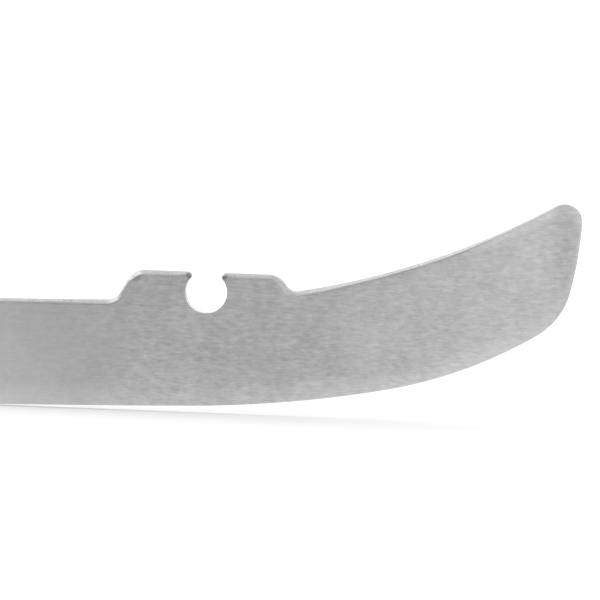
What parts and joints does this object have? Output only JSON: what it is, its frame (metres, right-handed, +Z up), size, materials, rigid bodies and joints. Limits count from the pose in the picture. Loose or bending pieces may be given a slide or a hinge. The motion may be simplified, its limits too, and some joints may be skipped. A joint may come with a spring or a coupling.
{
  "type": "hockey skate runner",
  "caption": "Stamped steel hockey skate blade with a rockered edge, an upswept toe and keyhole mounting notches, with the stud, washer and lock nut of its rear notch.",
  "frame": {"origin": "axis of the front notch's bore, in the middle of the blade's thickness", "axes": "+X towards the toe, +Y through the blade's thickness, +Z up, away from the ice"},
  "size_m": [0.2909, 0.012, 0.0465],
  "materials": {
    "blade_steel": "satin, fine lengthwise grain",
    "zinc_plate": "bright zinc plating",
    "nylon": "natural nylon"
  },
  "bodies": {
    "blade": {"runner": "blade_steel"},
    "stud": {"rear_stud": "zinc_plate"},
    "washer": {"rear_washer": "zinc_plate"},
    "nut": {"rear_lock_nut": "zinc_plate", "rear_lock_ring": "nylon"}
  },
  "joints": [
    {"name": "stud_withdraw", "type": "slide", "parent": "blade", "child": "stud", "axis": [0, 1, 0], "range_m": [-0.012, 0.012]},
    {"name": "nut_travel", "type": "slide", "parent": "stud", "child": "washer", "axis": [0, 0, 1], "range_m": [0, 0.0112]},
    {"name": "nut_turn", "type": "hinge", "parent": "washer", "child": "nut", "pos_m": [-0.167, 0, 0], "axis": [0, 0, 1], "range_deg": [0, 5040]}
  ],
  "couplings": [
    {"joint": "nut_turn", "follows": "nut_travel", "rad_per_m": 7854}
  ]
}
